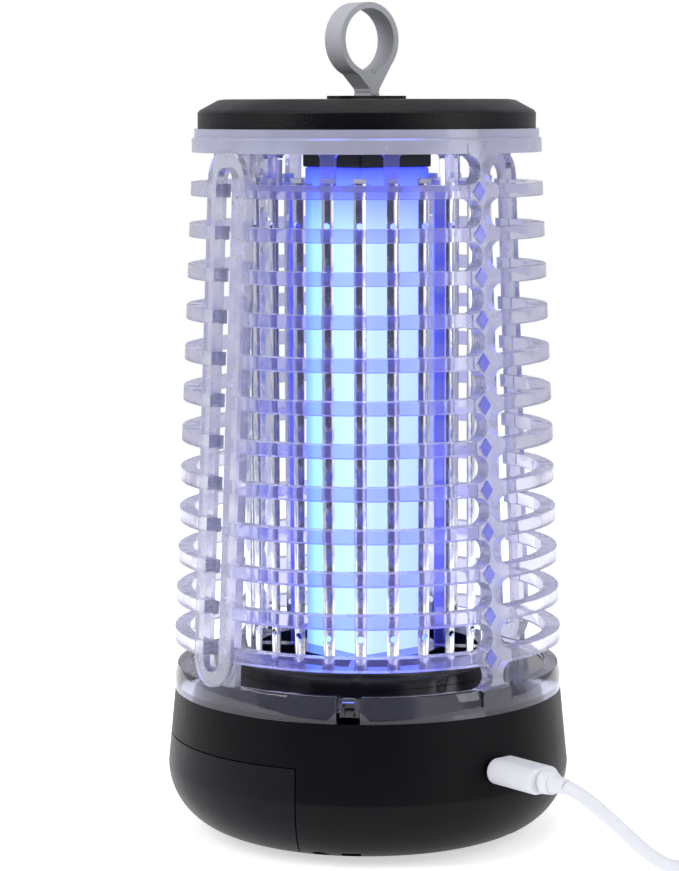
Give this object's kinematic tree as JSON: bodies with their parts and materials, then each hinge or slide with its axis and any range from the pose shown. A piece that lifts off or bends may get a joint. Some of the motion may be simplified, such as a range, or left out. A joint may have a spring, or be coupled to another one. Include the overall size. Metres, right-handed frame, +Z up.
{
  "type": "electric bug zapper",
  "caption": "Round rechargeable bug zapper: black base with a drawer, metal strip grid round a lit blue column, clear ribbed cage, black cap and strap loop, white charging lead.",
  "frame": {"origin": "middle of the base on the resting surface", "axes": "+Z up, -Y towards the front with the latch notch, -X towards the drawer's pull side"},
  "size_m": [0.2188, 0.1289, 0.248],
  "materials": {
    "base_black": "satin moulded plastic with a fine grain",
    "tray_black": "satin moulded plastic",
    "foot_rubber": "soft matt rubber",
    "screw_steel": "zinc plated",
    "board_green": "solder mask",
    "transformer_tape": "yellow winding tape",
    "capacitor_red": "dipped resin",
    "cell_blue": "shrink sleeve",
    "contact_metal": "nickel plated",
    "lens_green": "translucent",
    "button_black": "satin",
    "switch_dark": "matt",
    "wire_red": "insulated wire",
    "deck_black": "glossy moulded plastic",
    "strip_chrome": "polished strip",
    "tip_white": "matt",
    "bus_brass": "stamped strip",
    "clear_frame": "clear moulding",
    "clear_cage": "clear moulding with a frosted core",
    "lamp_black": "satin",
    "led_board": "white board with light chips",
    "lamp_glow": "lit blue diffuser",
    "cap_black": "satin plastic with a fine spark-eroded grain",
    "silicone_grey": "matt silicone",
    "lead_white": "satin white",
    "tie_black": "hook and loop strap"
  },
  "bodies": {
    "base": {"base_housing": "base_black", "bottom_cover": "base_black", "rubber_feet": "foot_rubber", "base_screws": "screw_steel", "circuit_board": "board_green", "transformer": "transformer_tape", "hv_capacitor": "capacitor_red", "battery_cell": "cell_blue", "battery_clips": "contact_metal", "usb_socket": "contact_metal", "indicator_lens": "lens_green", "switch_body": "switch_dark", "hv_wires": "wire_red", "grid_platform": "deck_black", "live_strips": "strip_chrome", "ground_strips": "strip_chrome", "strip_tips": "tip_white", "live_bus": "bus_brass", "ground_bus": "bus_brass", "upper_grid_ring": "clear_frame", "grid_posts": "clear_frame", "lamp_foot": "lamp_black", "led_boards": "led_board", "lamp_diffuser": "lamp_glow", "lamp_head": "lamp_black", "plug_shell": "contact_metal", "plug_body": "lead_white", "plug_boot": "lead_white", "cable": "lead_white", "cable_coil": "lead_white", "cable_tail": "lead_white", "coil_tie": "tie_black", "far_plug_body": "lead_white", "far_plug_shell": "contact_metal"},
    "tray": {"collection_tray": "tray_black"},
    "cage": {"clear_cage": "clear_cage", "top_cap": "cap_black", "loop_anchor": "silicone_grey", "anchor_screws": "screw_steel"},
    "loop": {"hanging_loop": "silicone_grey"},
    "button": {"power_button": "button_black"},
    "latch": {"latch": "deck_black"}
  },
  "joints": [
    {"name": "tray_slide", "type": "slide", "parent": "base", "child": "tray", "axis": [-1, 0, 0], "range_m": [0, 0.07]},
    {"name": "cage_lift", "type": "slide", "parent": "base", "child": "cage", "axis": [0, 0, 1], "range_m": [0, 0.16]},
    {"name": "loop_bend", "type": "hinge", "parent": "cage", "child": "loop", "pos_m": [0, 0, 0.2226], "axis": [0.7071, -0.7071, 0], "range_deg": [-35, 35], "stiffness_Nm_per_rad": 0.01},
    {"name": "button_press", "type": "slide", "parent": "base", "child": "button", "axis": [0, -1, 0], "range_m": [0, 0.001], "stiffness_N_per_m": 400},
    {"name": "latch_press", "type": "slide", "parent": "base", "child": "latch", "axis": [0, 1, 0], "range_m": [0, 0.0012], "stiffness_N_per_m": 500}
  ]
}
